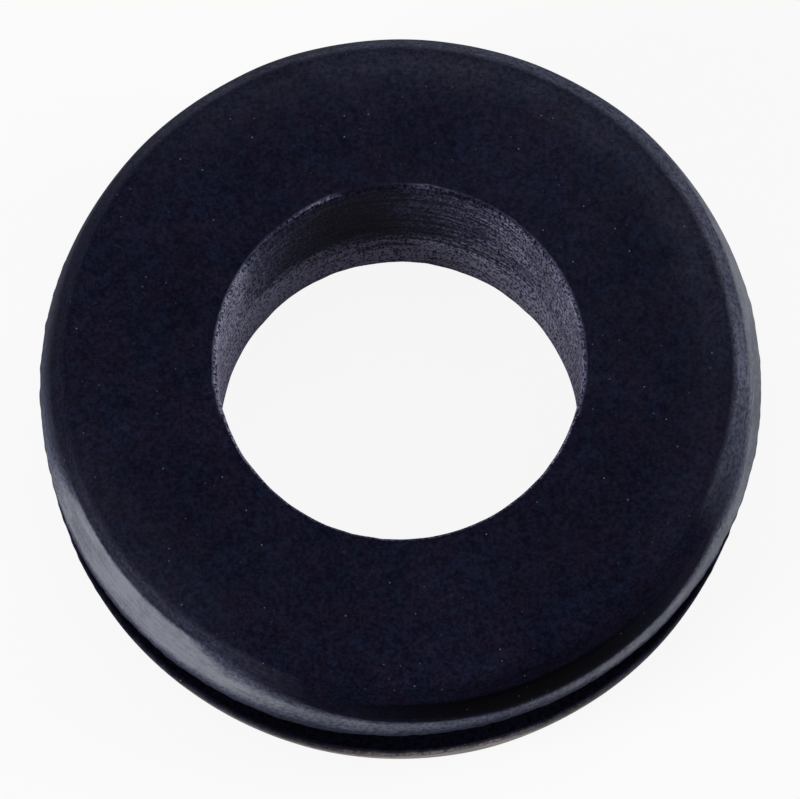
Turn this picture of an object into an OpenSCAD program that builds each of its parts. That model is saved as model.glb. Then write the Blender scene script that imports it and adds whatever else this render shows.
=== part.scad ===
// Round rubber grommet for a hole in a panel. It is one moulding: two like
// flanges, the groove between them that holds the panel, and a straight bore
// for the cable. The axis is +Z and the origin is at the middle of the lower
// face, so the part stands on one flange with the groove level.

/* [Flanges] */
// Outer diameter of both flanges
flange_d = 25.4; // [24:0.1:40]
// Thickness of each flange
flange_t = 3.3; // [2.4:0.05:5]
// Radial width of the shoulder, the steep drawn-in band outside the face
shoulder_w = 0.95; // [0.6:0.05:1.4]
// Radial width of the crown, where the face starts to roll over
crown_w = 0.7; // [0.2:0.05:1.2]
// Radius of the crown's roll
crown_r = 5; // [3:0.5:12]
// Radius on each flange's lip, where the mould parts at the groove
lip_r = 0.15; // [0.05:0.05:0.4]

/* [Groove] */
// Diameter of the panel hole, which the groove's floor fills
panel_hole_d = 19.05; // [16.5:0.05:21]
// Thickness of the panel, which is the groove's width
panel_t = 2.4; // [0.8:0.05:6.4]
// Fillet in the two corners of the groove's floor
groove_fillet_r = 0.35; // [0.05:0.05:0.35]

/* [Bore] */
// Diameter of the bore that the cable passes through
bore_d = 12.85; // [6:0.05:15]
// Radius on both edges of the bore
bore_edge_r = 0.2; // [0.05:0.05:0.5]

/* [Hidden] */
$fn = 180;

flange_r = flange_d / 2;
floor_r = panel_hole_d / 2;
bore_r = bore_d / 2;
total_t = 2 * flange_t + panel_t;

// The crown's arc leaves the flat face level and has dropped this far where
// the shoulder starts.
crown_x = flange_r - shoulder_w - crown_w;
crown_drop = crown_r - sqrt(crown_r ^ 2 - crown_w ^ 2);

// The shoulder's arc starts there and reaches the rim upright, at the foot of
// the lip's radius.
shoulder_top = flange_t - lip_r;
shoulder_h = shoulder_top - crown_drop;
shoulder_r = (shoulder_w ^ 2 + shoulder_h ^ 2) / (2 * shoulder_w);

// What an arc takes off a square corner: the quarter of the plane on one side
// of its centre, without the disc. side gives the quarter, such as [1, -1].
module off_corner(centre, r, side) {
    reach = r + flange_t;
    translate(centre) difference() {
        translate([min(side.x, 0), min(side.y, 0)] * reach) square(reach);
        circle(r = r);
    }
}

// Half section of the lower flange and the web inside it, up to the groove
module flange_section() {
    difference() {
        translate([bore_r, 0]) square([flange_r - bore_r, flange_t]);
        off_corner([crown_x, crown_r], crown_r, [1, -1]);
        off_corner([flange_r - shoulder_r, shoulder_top], shoulder_r, [1, -1]);
        off_corner([flange_r - lip_r, shoulder_top], lip_r, [1, 1]);
        off_corner([bore_r + bore_edge_r, bore_edge_r], bore_edge_r, [-1, -1]);
    }
}

// Half section of the web at the groove, spread at both ends by the fillets
module groove_section() {
    fillet_x = floor_r + groove_fillet_r;
    difference() {
        translate([bore_r, flange_t]) square([fillet_x - bore_r, panel_t]);
        translate([fillet_x, flange_t + groove_fillet_r]) circle(r = groove_fillet_r);
        translate([fillet_x, flange_t + panel_t - groove_fillet_r]) circle(r = groove_fillet_r);
        translate([floor_r, flange_t + groove_fillet_r])
            square([2 * groove_fillet_r, panel_t - 2 * groove_fillet_r]);
    }
}

module grommet() {
    color([0.10, 0.11, 0.16]) rotate_extrude() {
        flange_section();
        groove_section();
        translate([0, total_t]) mirror([0, 1]) flange_section();
    }
}

grommet();
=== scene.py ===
import math

import bpy
import numpy as np
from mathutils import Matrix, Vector, noise


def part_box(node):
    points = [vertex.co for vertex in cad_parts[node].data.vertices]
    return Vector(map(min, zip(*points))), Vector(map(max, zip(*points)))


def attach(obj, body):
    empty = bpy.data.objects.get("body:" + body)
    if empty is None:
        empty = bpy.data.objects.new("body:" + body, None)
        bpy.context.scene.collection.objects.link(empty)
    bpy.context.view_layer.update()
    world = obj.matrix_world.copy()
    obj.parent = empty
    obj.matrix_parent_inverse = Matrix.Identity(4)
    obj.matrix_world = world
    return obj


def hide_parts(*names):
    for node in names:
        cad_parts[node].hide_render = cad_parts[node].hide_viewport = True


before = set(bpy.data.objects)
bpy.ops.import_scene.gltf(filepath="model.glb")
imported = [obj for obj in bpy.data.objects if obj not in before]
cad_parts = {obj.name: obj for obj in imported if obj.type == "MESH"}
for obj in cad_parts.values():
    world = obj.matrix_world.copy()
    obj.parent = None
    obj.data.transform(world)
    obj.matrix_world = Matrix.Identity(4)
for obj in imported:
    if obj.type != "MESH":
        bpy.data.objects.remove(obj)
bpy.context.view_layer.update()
low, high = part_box("grommet")
print("frame loaded, the part is", [round(1000 * side, 3) for side in high - low], "mm")

# the whole moulding, metres
grommet = {
    "flangeRadius": high.x,
    "height": high.z,
    "flangeHeight": 0.0033,
    "crownWidth": 0.0007,       # where the face starts to roll over
    "crownRadius": 0.005,
    "bevelWidth": 0.00058,      # upper, flatter part of the shoulder
    "bevelHeight": 0.0009,
    "bevelBulge": 0.008,        # radius of its slight bulge
    "skirtWidth": 0.00043,      # lower, steeper part, down to the lip
    "skirtBulge": 0.011,
    "lipRadius": 0.00008,
    "lipLand": 0.00007,         # strip inside the lip, before the groove's wall
    "floorRadius": 0.009525,    # floor of the panel groove
    "floorFillet": 0.00035,
    "boreRadius": 0.006425,
    "boreEdge": 0.0002,
    "turns": 1152,              # steps once round
}


def deselectAll():
    if bpy.context.object and bpy.context.object.mode != "OBJECT":
        bpy.ops.object.mode_set(mode="OBJECT")
    bpy.ops.object.select_all(action="DESELECT")


# A pen that draws the half section in the XZ plane, edge by edge
pen = {"x": 0.0, "z": 0.0}


def startPen(x, z):
    bpy.ops.mesh.primitive_plane_add(size=0.0001, location=(x, 0, z))
    bpy.ops.object.mode_set(mode="EDIT")
    bpy.ops.mesh.merge(type="CENTER")
    pen.update(x=x, z=z)


def drawLine(x, z, steps):
    part = ((x - pen["x"]) / steps, 0, (z - pen["z"]) / steps)
    for step in range(steps):
        bpy.ops.mesh.extrude_region_move(TRANSFORM_OT_translate={"value": part})
    pen.update(x=x, z=z)


def drawArc(centreX, centreZ, degrees, steps):  # anticlockwise with X to the right and Z up
    turn = math.radians(degrees)
    bpy.ops.mesh.spin(steps=steps, angle=turn, center=(centreX, 0, centreZ), axis=(0, 1, 0))
    x, z = pen["x"] - centreX, pen["z"] - centreZ
    pen.update(x=centreX + x * math.cos(turn) - z * math.sin(turn),
               z=centreZ + x * math.sin(turn) + z * math.cos(turn))


def drawBulge(x, z, radius, steps):  # arc to (x, z) that bulges to the right of the way there
    acrossX, acrossZ = x - pen["x"], z - pen["z"]
    chord = math.hypot(acrossX, acrossZ)
    depth = math.sqrt(radius ** 2 - chord ** 2 / 4)
    centreX = (x + pen["x"]) / 2 - depth * acrossZ / chord
    centreZ = (z + pen["z"]) / 2 + depth * acrossX / chord
    drawArc(centreX, centreZ, 2 * math.degrees(math.asin(chord / 2 / radius)), steps)


def buildGrommet():
    g = grommet
    flangeR, height, flangeH = g["flangeRadius"], g["height"], g["flangeHeight"]
    lipR, fillet, edge = g["lipRadius"], g["floorFillet"], g["boreEdge"]
    skirtX = flangeR - g["skirtWidth"]
    bevelX = skirtX - g["bevelWidth"]
    crownX = bevelX - g["crownWidth"]
    crownTurn = math.degrees(math.asin(g["crownWidth"] / g["crownRadius"]))
    crownDrop = g["crownRadius"] * (1 - math.cos(math.radians(crownTurn)))
    skirtTop = crownDrop + g["bevelHeight"]  # from the face
    boreX = g["boreRadius"] + edge
    filletX = g["floorRadius"] + fillet
    landX = flangeR - lipR - g["lipLand"]

    deselectAll()
    startPen(boreX, 0)
    drawLine(crownX, 0, 3)
    drawArc(crownX, g["crownRadius"], crownTurn, 2)
    drawBulge(skirtX, skirtTop, g["bevelBulge"], 3)
    drawBulge(flangeR, flangeH - lipR, g["skirtBulge"], 6)
    drawArc(flangeR - lipR, flangeH - lipR, 90, 3)
    drawLine(landX, flangeH, 1)
    drawLine(filletX, flangeH, 2)
    drawArc(filletX, flangeH + fillet, -90, 3)
    drawLine(g["floorRadius"], height - flangeH - fillet, 1)
    drawArc(filletX, height - flangeH - fillet, -90, 3)
    drawLine(landX, height - flangeH, 2)
    drawLine(flangeR - lipR, height - flangeH, 1)
    drawArc(flangeR - lipR, height - flangeH + lipR, 90, 3)
    drawBulge(skirtX, height - skirtTop, g["skirtBulge"], 12)
    drawBulge(bevelX, height - crownDrop, g["bevelBulge"], 6)
    drawArc(crownX, height - g["crownRadius"], crownTurn, 3)
    drawLine(boreX, height, 5)
    drawArc(boreX, height - edge, 90, 4)
    drawLine(g["boreRadius"], edge, 20)
    drawArc(boreX, edge, 90, 3)
    bpy.ops.mesh.select_all(action="SELECT")
    bpy.ops.mesh.remove_doubles(threshold=1e-6)
    bpy.ops.object.mode_set(mode="OBJECT")
    bpy.ops.object.transform_apply(location=True, rotation=True, scale=True)
    piece = bpy.context.object
    turning = piece.modifiers.new("turning", "SCREW")
    turning.axis = "Z"
    turning.steps = turning.render_steps = g["turns"]
    turning.use_merge_vertices = True
    turning.merge_threshold = 1e-7
    bpy.ops.object.modifier_apply(modifier=turning.name)
    bpy.ops.object.mode_set(mode="EDIT")
    bpy.ops.mesh.select_all(action="SELECT")
    bpy.ops.mesh.normals_make_consistent(inside=False)
    bpy.ops.object.mode_set(mode="OBJECT")
    piece.name = "mouldedGrommet"
    bpy.ops.object.shade_smooth()
    print("grommet:", len(piece.data.vertices), "vertices,", len(piece.data.polygons), "faces")
    return piece


def smooth(value, start, end):
    t = np.clip((value - start) / (end - start), 0, 1)
    return t * t * (3 - 2 * t)


def nearRim(radius, zone):  # 0 to 1 between two distances inside the rim
    return smooth(radius, grommet["flangeRadius"] - zone[0], grommet["flangeRadius"] - zone[1])


def roundTable(azimuth, table, column):  # a table's column, read round the part
    return np.interp(azimuth, [row[0] for row in table], [row[column] for row in table], period=360)


def readPoints(piece):
    flat = np.empty(3 * len(piece.data.vertices))
    piece.data.vertices.foreach_get("co", flat)
    return flat.reshape(-1, 3)


def bumps(points, period, seed):  # smooth noise, about -1 to 1
    shifted = points / period + seed
    return np.array([noise.noise(p) for p in shifted.tolist()]) * 1.6


# how the moulding differs from its drawing, metres
wear = {
    "faceShift": (-0.00006, -0.00012),  # the flat ring sits a little off centre
    "shiftRise": (0.0025, 0.0015),  # sets in outside the bore and is full inside the rim
    "shiftFade": (0.0012, 0.0004),  # fades towards the rim
    "shiftAbove": 0.0005,       # only this far from the groove's wall
    "wave": 0.00003,            # in and out, round the shoulder
    "wavePeriod": 0.0035,
    "waveRise": (0.0016, 0.0008),
    "waveFade": (0.0004, 0.0001),
    "waveAbove": 0.0002,
    # degrees, then pushes outwards in thousandths of a mm: at the upper lip, at
    # the crease over it and at the lower lip
    "outOfRound": (
        (0, 85, 25, -60), (15, 140, 30, 0), (30, 135, 60, 40), (45, 115, 95, 40),
        (60, 95, 85, 40), (75, 15, 10, 0), (90, 5, 10, 0), (105, -15, -15, 0),
        (120, 35, 35, 20), (135, 45, 25, 20), (150, 60, 10, 0), (165, 80, 0, 0),
        (180, 35, 0, -40), (195, 35, 0, -90), (210, 90, 0, -35), (225, 110, 0, 25),
        (240, 95, 0, 5), (255, 95, 0, 70), (270, 25, 0, 75), (285, -25, 0, 10),
        (300, 0, 0, -50), (315, 10, 0, -85), (330, 25, 0, -130), (345, 105, 0, -130)),
    "roundBlur": 6,             # degrees either way that soften that table
    "creaseRise": 0.0014,       # inside the rim, where the crease's push sets in
    "lipRag": 0.00002,          # torn flash on both lips
    "ragPeriods": (0.00035, 0.0011),
    "ragAbove": 0.00012,
    "slack": 0.00001,
    "boreWave": 0.000012,       # grain of the bore's wall
    "boreReach": 0.0003,
    "borePeriods": (0.0009, 0.0005),
    "boreRag": 0.00003,         # chipped edges of the bore
    "chipPeriod": 0.0006,
    "chipZone": (0.00025, 0.0001),
    "seed": 3.7,
}


def wearIn(piece):
    g, w = grommet, wear
    flangeR, boreR, middle = g["flangeRadius"], g["boreRadius"], g["height"] / 2
    grooveEdge = middle - g["flangeHeight"]
    points = readPoints(piece)
    x, y, z = points.T
    radius = np.hypot(x, y)
    outX, outY = x / radius, y / radius
    fromMiddle = np.abs(z - middle)

    ring = smooth(radius, boreR + w["shiftRise"][0], flangeR - w["shiftRise"][1])
    ring *= 1 - nearRim(radius, w["shiftFade"])
    ring *= fromMiddle > grooveEdge + w["shiftAbove"]
    points[:, 0] += ring * w["faceShift"][0]
    points[:, 1] += ring * w["faceShift"][1]

    shoulder = nearRim(radius, w["waveRise"]) * (fromMiddle > grooveEdge + w["waveAbove"])
    shoulder *= 1 - nearRim(radius, w["waveFade"])
    push = shoulder * bumps(points * (1, 1, 0.4), w["wavePeriod"], w["seed"]) * w["wave"]

    azimuth = np.degrees(np.arctan2(y, x))
    upper = z > middle
    toLip = np.clip((radius - flangeR) / g["skirtWidth"] + 1, 0, 1)  # 1 at the lip, none above the skirt
    toCrease = nearRim(radius, (w["creaseRise"], g["skirtWidth"])) * (1 - toLip)
    blur = (-w["roundBlur"], 0, w["roundBlur"])
    for share, column in ((upper * toLip, 1), (upper * toCrease, 2), (~upper * toLip, 3)):
        lobes = sum(roundTable(azimuth + turn, w["outOfRound"], column) for turn in blur) / 3
        push += share * lobes * 1e-6

    flat = points * (1, 1, 0)
    lip = (radius > flangeR - g["lipRadius"] - w["slack"]) * (fromMiddle < grooveEdge + w["ragAbove"])
    rag = bumps(flat, w["ragPeriods"][0], w["seed"] + 9)
    rag += 0.6 * bumps(flat, w["ragPeriods"][1], w["seed"] + 5)
    push += lip * rag * w["lipRag"]

    inBore = smooth(boreR + w["boreReach"] - radius, 0, w["boreReach"])
    grain = bumps(points * (1, 1, 0.6), w["borePeriods"][0], w["seed"] + 2)
    grain += 0.5 * bumps(points * (1, 1, 1.5), w["borePeriods"][1], w["seed"] + 4)
    push += inBore * grain * w["boreWave"]

    wide, narrow = w["chipZone"]
    edge = (radius < boreR + wide) * smooth(fromMiddle, middle - wide, middle - narrow)
    chip = np.maximum(bumps(flat, w["chipPeriod"], w["seed"] + 7), 0) ** 2
    push += edge * chip * w["boreRag"]
    points[:, 0] += push * outX
    points[:, 1] += push * outY
    piece.data.vertices.foreach_set("co", points.ravel())
    piece.data.update()


# Painted light on the two shoulders: pale bands that stand in for the floor's reflection and the side
# lamps. Each row: degrees round the part, then in mm from the lip where it is full, where it ends and how
# softly, then how much there is on the skirt, on the bevel above it and on the crown. The skirt takes
# the bevel's amount above its end. Less than none is painted shade.
paintedLightUpper = (
    (0, 0.2, 2.5, 0.3, 0.72, 0.46, 0.02), (15, 0.1, 2.5, 0.3, 1.05, 0.38, 0.04),
    (32, 0.1, 2.5, 0.3, 0.75, 0.38, 0.045), (60, 0.1, 2.5, 0.3, 0.35, 0.32, 0.05),
    (90, 0.1, 2.5, 0.3, 0.30, 0.36, 0.06), (120, 0.1, 2.5, 0.3, 0.20, 0.20, 0.03),
    (150, 0.1, 2.0, 0.5, 0.14, 0.03, 0.0), (178, 0.1, 1.4, 0.9, 0.28, 0.01, 0.0),
    (193, 0.1, 1.5, 1.1, 0.54, 0.02, 0.01), (204, 0.6, 2.5, 0.2, 0.88, 0.08, 0.02),
    (232, 1.1, 2.5, 0.2, 1.00, 0.12, 0.02), (241, 1.2, 1.8, 0.8, 0.95, 0.10, 0.0),
    (253, 1.3, 1.6, 0.35, 0.64, 0.02, -0.04), (266, 0.9, 1.35, 0.3, 0.62, -0.2, -0.04),
    (286, 0.8, 1.1, 0.22, 0.46, -0.4, -0.06), (304, 0.6, 1.1, 0.25, 0.75, -0.32, -0.03),
    (318, 0.45, 1.15, 0.3, 0.85, -0.18, 0.0), (332, 0.3, 1.4, 0.5, 0.85, 0.02, 0.01),
    (343, 0.3, 1.4, 0.5, 0.85, 0.26, 0.01))
paintedLightLower = (
    (0, 0.3, 1.2, 0.5, 0.4, 0.05, 0.0), (50, 0.7, 2.5, 0.3, 0.8, 0.2, 0.03),
    (95, 0.4, 1.8, 0.5, 0.5, 0.1, 0.0), (150, 0.2, 0.9, 0.5, 0.6, 0.05, -0.2),
    (200, 0.5, 1.6, 0.5, 0.4, 0.1, 0.0), (235, 1.6, 2.5, 0.3, 0.6, 0.2, 0.0),
    (255, 1.8, 2.6, 0.3, 0.95, 0.3, 0.04), (270, 0.8, 2.6, 0.3, 1.0, 0.3, 0.04),
    (285, 0.45, 2.6, 0.3, 1.0, 0.2, 0.0), (300, 1.8, 2.6, 0.3, 0.9, 0.1, 0.0),
    (318, 2.0, 2.4, 0.4, 0.4, 0.1, 0.0))
paintedLightLip = (  # painted light on the lower lip, standing in for the floor's reflection: degrees, amount
    (0, 0.1), (60, 0.3), (110, 0.1), (242, 0.05), (258, 0.08), (270, 0.3), (283, 0.45), (296, 0.1),
    (330, 0.05))
paintedLightBore = (  # painted light on the bore's wall, standing in for the floor's reflection and, near the lower edge, its bounce: degrees, amount in the upper part and near the lower edge
    (0, 0.42, 0.6), (21, 0.40, 0.7), (40, 0.36, 1.0), (55, 0.34, 1.6), (75, 0.17, 1.5),
    (96, 0.03, 1.4), (112, 0.04, 2.0), (124, 0.09, 2.8), (136, 0.20, 2.8), (144, 0.30, 2.2),
    (152, 0.75, 1.5), (180, 0.85, 1.2), (230, 0.3, 0.5), (310, 0.3, 0.5))
paintedLightPlace = {
    "crownDrop": 0.05,          # mm from the face down to the bevel
    "bevelFade": (0.02, 0.12),  # mm over the crease, where the bevel takes over
    "crownFade": (0.6, 0.86),   # and where the crown does
    "faceFade": (0.0030, 0.0014),  # inside the rim, from none on the face to the crown's
    "shadeGain": 2.6,           # painted shade is deeper on the skirt than on the bevel
    "faceFilm": 0.003,
    "paintedLitSide": (50, 0.009),     # degrees, and how much more painted light there is on that half of the face
    "lipTop": 0.12,             # mm over the groove's wall
    "lipIn": 0.00018,
    "lipRise": (0.0001, 0),
    "boreLow": (0.0012, 0.0042),
    "boreEdge": 0.0001,
    "rimZone": (0.00003, 0.00018),  # rubbed patches on the bore's upper edge, with a share of the bore's painted light
    "rimFront": -0.002,
    "rimPeriod": 0.0022,
    "rimSeed": 31.0,
    "rimShare": 0.6,
}


def addPaintedLightAndShade(piece):
    g, b = grommet, paintedLightPlace
    flangeR, boreR, middle = g["flangeRadius"], g["boreRadius"], g["height"] / 2
    points = readPoints(piece)
    x, y, z = points.T
    radius, azimuth = np.hypot(x, y), np.degrees(np.arctan2(y, x)) % 360
    rise = 1000 * (np.abs(z - middle) - middle + g["flangeHeight"])  # mm from the groove's wall
    crease = 1000 * (g["flangeHeight"] - g["bevelHeight"]) - b["crownDrop"]
    onBevel = smooth(rise, crease + b["bevelFade"][0], crease + b["bevelFade"][1])
    onCrown = smooth(rise, crease + b["crownFade"][0], crease + b["crownFade"][1])
    upper = z > middle
    amount = np.zeros(len(points))
    for table, side in ((paintedLightUpper, upper), (paintedLightLower, ~upper)):
        full, top, soft, skirt, bevel, crown = [roundTable(azimuth, table, column)
                                                for column in range(1, 7)]
        over = smooth(rise, top - soft, top + soft)
        # below none the bevel's amount is painted shade, deeper on the skirt
        above = np.where(bevel < 0, np.maximum(b["shadeGain"] * bevel, -1), bevel)
        skirt = skirt * (1 - over) * smooth(rise, 0.02 - 0.1 * full, full) + above * over
        crown = crown * nearRim(radius, b["faceFade"])
        outside = skirt * (1 - onBevel) + bevel * onBevel
        amount += side * (outside * (1 - onCrown) + crown * onCrown)
    paintedLitSide = np.clip(np.cos(np.radians(azimuth - b["paintedLitSide"][0])), 0, 1)
    amount += onCrown * upper * (b["faceFilm"] + b["paintedLitSide"][1] * paintedLitSide)
    amount *= radius > boreR + b["rimZone"][1]
    lip = (rise < b["lipTop"]) & (radius > flangeR - b["lipIn"]) & ~upper
    amount = np.where(lip, roundTable(azimuth, paintedLightLip, 1) * nearRim(radius, b["lipRise"]), amount)

    # painted light on the bore's wall, brighter towards its lower edge
    lowDown = 1 - smooth(z, *b["boreLow"])
    bore = roundTable(azimuth, paintedLightBore, 1) * (1 - lowDown) + roundTable(azimuth, paintedLightBore, 2) * lowDown
    amount = np.where(radius < boreR + b["boreEdge"], bore, amount)
    inner, outer = b["rimZone"]
    rim = (radius > boreR + inner) & (radius < boreR + outer) & (z > middle) & (y > b["rimFront"])
    rubbed = np.clip(bumps(points * (1, 1, 0), b["rimPeriod"], b["rimSeed"]), 0, 1)
    # the bore's upper edge: rubbed patches, or a share of the bore's painted light
    amount = np.where(rim, np.maximum(b["rimShare"] * bore, b["rimShare"] * rubbed), amount)
    # the layer holds painted light, painted shade and a thin dust film on the face
    layer = piece.data.attributes.new("paintedLightShadeAndDust", "FLOAT", "POINT")
    layer.data.foreach_set("value", amount.astype(np.float32))


materialReach = {"groove": 0.00006, "bore": 0.00012}  # how far past its own faces each one goes


def splitMaterials(piece, skin, groove, bore):  # groove and bore faces by their place
    g = grommet
    for material in (skin, groove, bore):
        piece.data.materials.append(material)
    centres = np.empty(3 * len(piece.data.polygons))
    piece.data.polygons.foreach_get("center", centres)
    centres = centres.reshape(-1, 3)
    radius = np.hypot(centres[:, 0], centres[:, 1])
    fromMiddle = np.abs(centres[:, 2] - g["height"] / 2)
    inGroove = fromMiddle < g["height"] / 2 - g["flangeHeight"] + materialReach["groove"]
    insideLip = radius < g["flangeRadius"] - g["lipRadius"] - g["lipLand"]
    which = np.where(inGroove & insideLip, 1, 0)
    which = np.where(radius < g["boreRadius"] + materialReach["bore"], 2, which)
    piece.data.polygons.foreach_set("material_index", which.astype(np.int32))


class Nodes:  # adds nodes to one tree and links them up
    def __init__(self, tree):
        self.tree = tree

    def add(self, kind, inputs=(), **settings):
        node = self.tree.nodes.new(kind)
        for name, value in settings.items():
            setattr(node, name, value)
        for name, value in dict(inputs).items():
            if hasattr(value, "is_output"):
                self.tree.links.new(value, node.inputs[name])
            else:
                node.inputs[name].default_value = value
        return node

    def noise(self, vector, scale, detail=3.0, roughness=0.6):
        return self.add("ShaderNodeTexNoise", {"Vector": vector, "Scale": scale, "Detail": detail,
                                               "Roughness": roughness}).outputs["Fac"]

    def math(self, operation, first, second):
        return self.add("ShaderNodeMath", {0: first, 1: second}, operation=operation).outputs[0]

    def spread(self, value, low, high, toLow=0.0, toHigh=1.0):
        node = self.add("ShaderNodeMapRange", {"Value": value, "From Min": low, "From Max": high,
                                               "To Min": toLow, "To Max": toHigh})
        node.interpolation_type = "SMOOTHSTEP"
        return node.outputs["Result"]

    def blend(self, amount, first, second, how="MIX"):
        return self.add("ShaderNodeMix", {0: amount, 6: first, 7: second},
                        data_type="RGBA", blend_type=how).outputs[2]


def makeGroup(name, inputs, outputs):
    group = bpy.data.node_groups.new(name, "ShaderNodeTree")
    for label, kind in inputs:
        group.interface.new_socket(label, in_out="INPUT", socket_type=kind)
    for label, kind in outputs:
        group.interface.new_socket(label, in_out="OUTPUT", socket_type=kind)
    return group, group.nodes.new("NodeGroupInput"), group.nodes.new("NodeGroupOutput")


# how fine each pattern is, per metre unless it says otherwise
texture = {
    "skinGrain": 7500.0,
    "grooveGrain": 6000.0,
    "boreGrain": 10500.0,
    "clouds": 2200.0,
    "tints": 700.0,
    "broad": 160.0,         # light and dark regions of the face
    "grit": 6500.0,         # breaks the dust and painted light up
    "lightAndDustPatches": 900.0,
    "specks": 2400.0,
    "scoring": 4200.0,
    "linesAcross": 9000.0,  # the lines rubbed round the shoulder
    "linesDown": 5000.0,
    "linesAround": 4.0,     # how quickly they change once round, not per metre
    "skinSpecks": 0.75,     # share of the cells that hold a speck
    "boreSpecks": 0.9,
}


def grainGroup():  # fine grain and cloudy patches of moulded rubber
    group, given, result = makeGroup(
        "mouldedGrain", [("Vector", "NodeSocketVector"), ("Fineness", "NodeSocketFloat")],
        [("Tone", "NodeSocketFloat"), ("Cloud", "NodeSocketFloat"), ("Tint", "NodeSocketFloat"),
         ("Height", "NodeSocketFloat")])
    n = Nodes(group)
    place = given.outputs["Vector"]
    fine = n.noise(place, given.outputs["Fineness"], 3.0, 0.7)
    coarse = n.noise(place, texture["clouds"])
    tints = n.noise(place, texture["tints"], 4.0, 0.7)
    group.links.new(n.spread(fine, 0.3, 0.7), result.inputs["Tone"])
    group.links.new(n.spread(coarse, 0.34, 0.66), result.inputs["Cloud"])
    group.links.new(n.spread(tints, 0.34, 0.66), result.inputs["Tint"])
    group.links.new(n.math("ADD", fine, n.math("MULTIPLY", coarse, 0.8)), result.inputs["Height"])
    return group


def dustAndLightGroup():  # painted light and dust film broken up by grain, thick where there is much, and loose dust specks
    group, given, result = makeGroup(
        "paleDustAndPaintedLight", [("Vector", "NodeSocketVector"), ("PaintedLightAndDust", "NodeSocketFloat"),
                     ("Specks", "NodeSocketFloat")], [("Mask", "NodeSocketFloat")])
    n = Nodes(group)
    place, paintedLightShadeAndDust = given.outputs["Vector"], given.outputs["PaintedLightAndDust"]
    grit = n.noise(place, texture["grit"], 3.0, 0.7)
    thin = n.spread(grit, 0.34, 0.66, 0.5, 1.45)
    thick = n.spread(grit, 0.3, 0.7, 0.86, 1.1)
    much = n.spread(paintedLightShadeAndDust, 0.3, 0.95)
    little = n.math("SUBTRACT", 1.0, much)
    patchy = n.math("ADD", n.math("MULTIPLY", thick, much), n.math("MULTIPLY", thin, little))
    broad = n.spread(n.noise(place, texture["lightAndDustPatches"], 4.0, 0.65), 0.3, 0.7, 0.8, 1.18)
    lightAndDustFilm = n.math("MULTIPLY", n.math("MULTIPLY", paintedLightShadeAndDust, patchy), broad)
    cells = n.add("ShaderNodeTexVoronoi", {"Vector": place, "Scale": texture["specks"]})
    near = n.spread(cells.outputs["Distance"], 0.04, 0.09, 1.0, 0.0)
    pick = n.add("ShaderNodeSeparateColor", {0: cells.outputs["Color"]})
    chosen = n.math("LESS_THAN", pick.outputs[0], given.outputs["Specks"])
    strength = n.spread(pick.outputs[1], 0.0, 1.0, 0.08, 0.6)
    speck = n.math("MULTIPLY", n.math("MULTIPLY", near, chosen), strength)
    group.links.new(n.math("MAXIMUM", lightAndDustFilm, speck), result.inputs["Mask"])
    return group


rubber = {
    "black": (0.0040, 0.0042, 0.0115, 1),
    "blue": (0.0052, 0.0072, 0.0172, 1),
    "violet": (0.0086, 0.0058, 0.0136, 1),
    # painted shade where the shoulders get little light, darkest at the front
    "paintedShade": (0.0006, 0.0006, 0.0014, 1),
    # painted shade: the groove is darker than the rubber, for the shadow under the flange
    "groove": (0.0006, 0.0006, 0.0010, 1),
    "pit": (0.0018, 0.0018, 0.0040, 1),
    "bore": (0.0075, 0.0070, 0.0150, 1),
    # dust specks, and the painted light bands of the shoulders
    "thinDustAndPaintedLight": (0.165, 0.178, 0.26, 1),
    "dustAndPaintedLight": (0.215, 0.225, 0.265, 1),
    "paintedLipLight": (0.42, 0.38, 0.385, 1),  # painted light, warmer, at the front of the lower lip
    # painted light on the bore's wall, also the colour of its dust specks
    "boreDustAndPaintedLight": (0.345, 0.335, 0.46, 1),
    "boreThinDustAndPaintedLight": (0.24, 0.235, 0.47, 1),
    "roughness": (0.5, 0.85),   # bare and under the dust and painted light
    "specular": 0.003,
    "grooveRoughness": 0.9,
    "grooveSpecular": 0.01,
    "boreRoughness": 0.8,
    "boreSpecular": 0.02,
    "bump": 0.00003,            # height of the grain, metres
    "boreBump": 0.00005,
}


def startMaterial(name):
    material = bpy.data.materials.new(name)
    material.use_nodes = True
    n = Nodes(material.node_tree)
    place = n.add("ShaderNodeTexCoord").outputs["Object"]
    return material, n, material.node_tree.nodes["Principled BSDF"], place


def paintedLightAt(n):
    return n.add("ShaderNodeAttribute", attribute_name="paintedLightShadeAndDust").outputs["Fac"]


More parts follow.
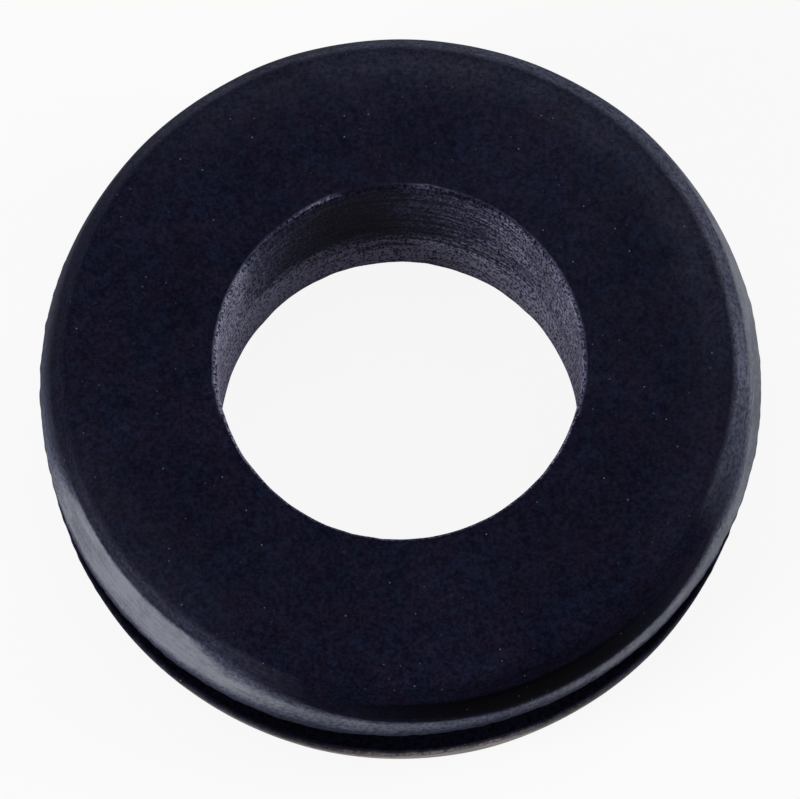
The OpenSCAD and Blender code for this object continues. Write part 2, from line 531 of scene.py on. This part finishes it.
def skinMaterial(grain, dustAndPaintedLight):
    r = rubber
    material, n, shader, place = startMaterial("rubberSkin")
    paintedLightShadeAndDust = paintedLightAt(n)
    grainNode = n.add("ShaderNodeGroup", {"Vector": place, "Fineness": texture["skinGrain"]},
                      node_tree=grain)
    body = n.blend(grainNode.outputs["Cloud"], r["black"], r["blue"])
    body = n.blend(n.math("MULTIPLY", grainNode.outputs["Tint"], 0.6), body, r["violet"])
    broad = n.spread(n.noise(place, texture["broad"], 4.0, 0.7), 0.3, 0.7, 0.85, 1.2)
    shade = n.math("MULTIPLY", n.spread(grainNode.outputs["Tone"], 0.0, 1.0, 0.62, 1.46), broad)
    grey = n.add("ShaderNodeCombineColor", {0: shade, 1: shade, 2: shade}).outputs[0]
    body = n.blend(1.0, body, grey, "MULTIPLY")
    # painted shade where the amount goes below none
    body = n.blend(n.spread(paintedLightShadeAndDust, 0.0, -1.0), body, r["paintedShade"])

    # fine lines rubbed into the dust and painted light round the shoulder
    parts = n.add("ShaderNodeSeparateXYZ", {0: place})
    across = n.add("ShaderNodeVectorMath", {0: place, 1: (1, 1, 0)}, operation="MULTIPLY").outputs[0]
    radius = n.add("ShaderNodeVectorMath", {0: across}, operation="LENGTH").outputs["Value"]
    around = n.add("ShaderNodeVectorMath", {0: across}, operation="NORMALIZE").outputs[0]
    around = n.add("ShaderNodeVectorMath", {0: around, 3: texture["linesAround"]},
                   operation="SCALE").outputs[0]
    rub = n.math("SUBTRACT", n.math("MULTIPLY", radius, texture["linesAcross"]),
                 n.math("MULTIPLY", parts.outputs["Z"], texture["linesDown"]))
    rub = n.add("ShaderNodeCombineXYZ", {2: rub}).outputs[0]
    lines = n.add("ShaderNodeVectorMath", {0: around, 1: rub}).outputs[0]
    striped = n.spread(n.noise(lines, 1.0, 2.0), 0.3, 0.7, 0.84, 1.14)
    dustAndLightNode = n.add("ShaderNodeGroup", {"Vector": place, "PaintedLightAndDust": n.math("MULTIPLY", paintedLightShadeAndDust, striped),
                                         "Specks": texture["skinSpecks"]}, node_tree=dustAndPaintedLight)
    mask = dustAndLightNode.outputs["Mask"]

    # painted light at the front of the lower lip, standing in for the floor's reflection
    frontLipLight = n.math("MULTIPLY", n.spread(parts.outputs["Z"], 0.0004, 0.0012),
                   n.spread(parts.outputs["Z"], 0.0035, 0.0037, 1.0, 0.0))
    frontLipLight = n.math("MULTIPLY", frontLipLight, n.spread(parts.outputs["Y"], -0.0080, -0.0110))
    # the colour of the dust and of the painted light
    tone = n.blend(n.spread(paintedLightShadeAndDust, 0.3, 0.8), r["thinDustAndPaintedLight"], r["dustAndPaintedLight"])
    tone = n.blend(frontLipLight, tone, r["paintedLipLight"])
    n.tree.links.new(n.blend(mask, body, tone), shader.inputs["Base Color"])
    n.tree.links.new(n.spread(mask, 0.0, 0.5, *r["roughness"]), shader.inputs["Roughness"])
    bump = n.add("ShaderNodeBump", {"Height": grainNode.outputs["Height"], "Strength": 0.25,
                                    "Distance": r["bump"]})
    n.tree.links.new(bump.outputs["Normal"], shader.inputs["Normal"])
    shader.inputs["Specular IOR Level"].default_value = r["specular"]
    return material


def grooveShadeMaterial(grain):
    r = rubber
    material, n, shader, place = startMaterial("rubberGroovePaintedShade")
    grainNode = n.add("ShaderNodeGroup", {"Vector": place, "Fineness": texture["grooveGrain"]},
                      node_tree=grain)
    # painted shade in the groove, from near black to the rubber's black
    body = n.blend(grainNode.outputs["Tone"], r["groove"], r["black"])
    n.tree.links.new(body, shader.inputs["Base Color"])
    bump = n.add("ShaderNodeBump", {"Height": grainNode.outputs["Height"], "Strength": 0.3,
                                    "Distance": r["bump"]})
    n.tree.links.new(bump.outputs["Normal"], shader.inputs["Normal"])
    shader.inputs["Roughness"].default_value = r["grooveRoughness"]
    shader.inputs["Specular IOR Level"].default_value = r["grooveSpecular"]
    return material


def boreMaterial(grain, dustAndPaintedLight):
    r = rubber
    material, n, shader, place = startMaterial("rubberBore")
    tall = n.add("ShaderNodeMapping", {"Vector": place, "Scale": (1, 1, 0.5)}).outputs[0]
    grainNode = n.add("ShaderNodeGroup", {"Vector": tall, "Fineness": texture["boreGrain"]},
                      node_tree=grain)
    pits = n.spread(grainNode.outputs["Tone"], 0.3, 0.62, 0.12, 1.35)
    flat = n.add("ShaderNodeMapping", {"Vector": place, "Scale": (0.13, 0.13, 1.6)}).outputs[0]
    lines = n.spread(n.noise(flat, texture["scoring"]), 0.38, 0.6, 0.25, 1.35)
    parts = n.add("ShaderNodeSeparateXYZ", {0: place})
    back = n.spread(parts.outputs["Y"], 0.0035, 0.0055)
    scored = n.blend(back, (1, 1, 1, 1), lines)  # scoring round the far wall
    lightAndDustFilm = n.math("MULTIPLY", n.math("MULTIPLY", paintedLightAt(n), pits), scored)
    dustAndLightNode = n.add("ShaderNodeGroup", {"Vector": tall, "PaintedLightAndDust": lightAndDustFilm, "Specks": texture["boreSpecks"]},
                     node_tree=dustAndPaintedLight)
    body = n.blend(grainNode.outputs["Tone"], r["pit"], r["bore"])
    tone = n.blend(n.spread(lightAndDustFilm, 0.1, 0.6), r["boreThinDustAndPaintedLight"], r["boreDustAndPaintedLight"])
    n.tree.links.new(n.blend(dustAndLightNode.outputs["Mask"], body, tone), shader.inputs["Base Color"])
    height = n.math("ADD", grainNode.outputs["Height"], lines)
    bump = n.add("ShaderNodeBump", {"Height": height, "Strength": 0.5, "Distance": r["boreBump"]})
    n.tree.links.new(bump.outputs["Normal"], shader.inputs["Normal"])
    shader.inputs["Roughness"].default_value = r["boreRoughness"]
    shader.inputs["Specular IOR Level"].default_value = r["boreSpecular"]
    return material


# what the camera does, pixels of the 800 x 799 picture and metres
view = {
    "elevation": 73.2,       # degrees above the horizon, from the front
    "distance": 0.381,       # to the middle of the upper face
    "focalPixels": 10848,
    "pictureSize": (800, 799),
    "faceAt": (399.7, 361.9),  # where the middle of the upper face shows
    "sensor": 36,            # mm
    "clip": (0.01, 10),
}


def addCamera():
    v = view
    width, height = v["pictureSize"]
    rise = math.radians(v["elevation"])
    back = Vector((0, -math.cos(rise), math.sin(rise)))
    upwards = Vector((0, math.sin(rise), math.cos(rise)))
    camera = bpy.data.objects.new("camera", bpy.data.cameras.new("camera"))
    bpy.context.scene.collection.objects.link(camera)
    camera.location = Vector((0, 0, high.z)) + v["distance"] * back
    right = (v["faceAt"][0] - width / 2) / v["focalPixels"]
    up = (height / 2 - v["faceAt"][1]) / v["focalPixels"]
    ahead = -back - Vector((1, 0, 0)) * right - upwards * up
    camera.rotation_mode = "QUATERNION"
    camera.rotation_quaternion = ahead.to_track_quat("-Z", "Y")
    camera.data.sensor_width = v["sensor"]
    camera.data.lens = v["sensor"] * v["focalPixels"] / width
    camera.data.clip_start, camera.data.clip_end = v["clip"]
    bpy.context.scene.camera = camera


softboxes = {  # place, side and watts
    "topSoftbox": ((0, 0.08, 0.5), 0.3, 0.7),
    "leftSoftbox": ((-0.42, -0.22, 0.27), 0.25, 2.2),
    "rightSoftbox": ((0.45, 0.03, 0.26), 0.25, 1.3),
}
lampAim = (0, 0, 0.005)


def addLamps():
    for name, (place, side, watts) in softboxes.items():
        lamp = bpy.data.objects.new(name, bpy.data.lights.new(name, "AREA"))
        bpy.context.scene.collection.objects.link(lamp)
        lamp.location = place
        lamp.rotation_mode = "QUATERNION"
        lamp.rotation_quaternion = (Vector(lampAim) - Vector(place)).to_track_quat("-Z", "Y")
        lamp.data.shape = "RECTANGLE"
        lamp.data.size = lamp.data.size_y = side
        lamp.data.energy = watts


stage = {
    "floorSize": 3.0,
    "floorColour": (0.65, 0.65, 0.65, 1),
    "white": 0.9,       # share of the floor that is plain white to the eye
    "studio": 0.15,     # light from the room
}


def seenDirectly(n):  # 1 for the camera and for what metal and glass show
    path = n.add("ShaderNodeLightPath")
    seen = n.math("ADD", path.outputs["Is Camera Ray"], path.outputs["Is Glossy Ray"])
    seen = n.math("ADD", seen, path.outputs["Is Transmission Ray"])
    return n.math("MINIMUM", seen, 1.0)


def addFloor():
    deselectAll()
    bpy.ops.mesh.primitive_plane_add(size=stage["floorSize"], location=(0, 0, 0))
    floor = bpy.context.object
    floor.name = "floor"
    material = bpy.data.materials.new("paleFloor")
    material.use_nodes = True
    n = Nodes(material.node_tree)
    shader = material.node_tree.nodes["Principled BSDF"]
    shader.inputs["Base Color"].default_value = stage["floorColour"]
    shader.inputs["Roughness"].default_value = 1.0
    shader.inputs["Specular IOR Level"].default_value = 0.0
    white = n.add("ShaderNodeEmission", {"Color": (1, 1, 1, 1), "Strength": 1.0}).outputs[0]
    share = n.math("MULTIPLY", seenDirectly(n), stage["white"])
    top = n.add("ShaderNodeMixShader", {0: share, 1: shader.outputs[0], 2: white}).outputs[0]
    clear = n.add("ShaderNodeBsdfTransparent").outputs[0]
    beneath = n.add("ShaderNodeNewGeometry").outputs["Backfacing"]  # from beneath the floor is clear
    both = n.add("ShaderNodeMixShader", {0: beneath, 1: top, 2: clear}).outputs[0]
    n.tree.links.new(both, material.node_tree.nodes["Material Output"].inputs["Surface"])
    floor.data.materials.append(material)


def addStudio():
    world = bpy.data.worlds.new("studio")
    bpy.context.scene.world = world
    world.use_nodes = True
    n = Nodes(world.node_tree)
    strength = n.spread(seenDirectly(n), 0.0, 1.0, stage["studio"], 1.0)
    background = world.node_tree.nodes["Background"]
    n.tree.links.new(strength, background.inputs["Strength"])
    background.inputs["Color"].default_value = (1, 1, 1, 1)


piece = buildGrommet()
addPaintedLightAndShade(piece)
grain, dustAndPaintedLight = grainGroup(), dustAndLightGroup()
splitMaterials(piece, skinMaterial(grain, dustAndPaintedLight), grooveShadeMaterial(grain), boreMaterial(grain, dustAndPaintedLight))
wearIn(piece)
print("worn and finished")
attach(piece, "root")
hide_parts("grommet")
addCamera()
addLamps()
addFloor()
addStudio()
bpy.context.scene.view_settings.view_transform = "Standard"
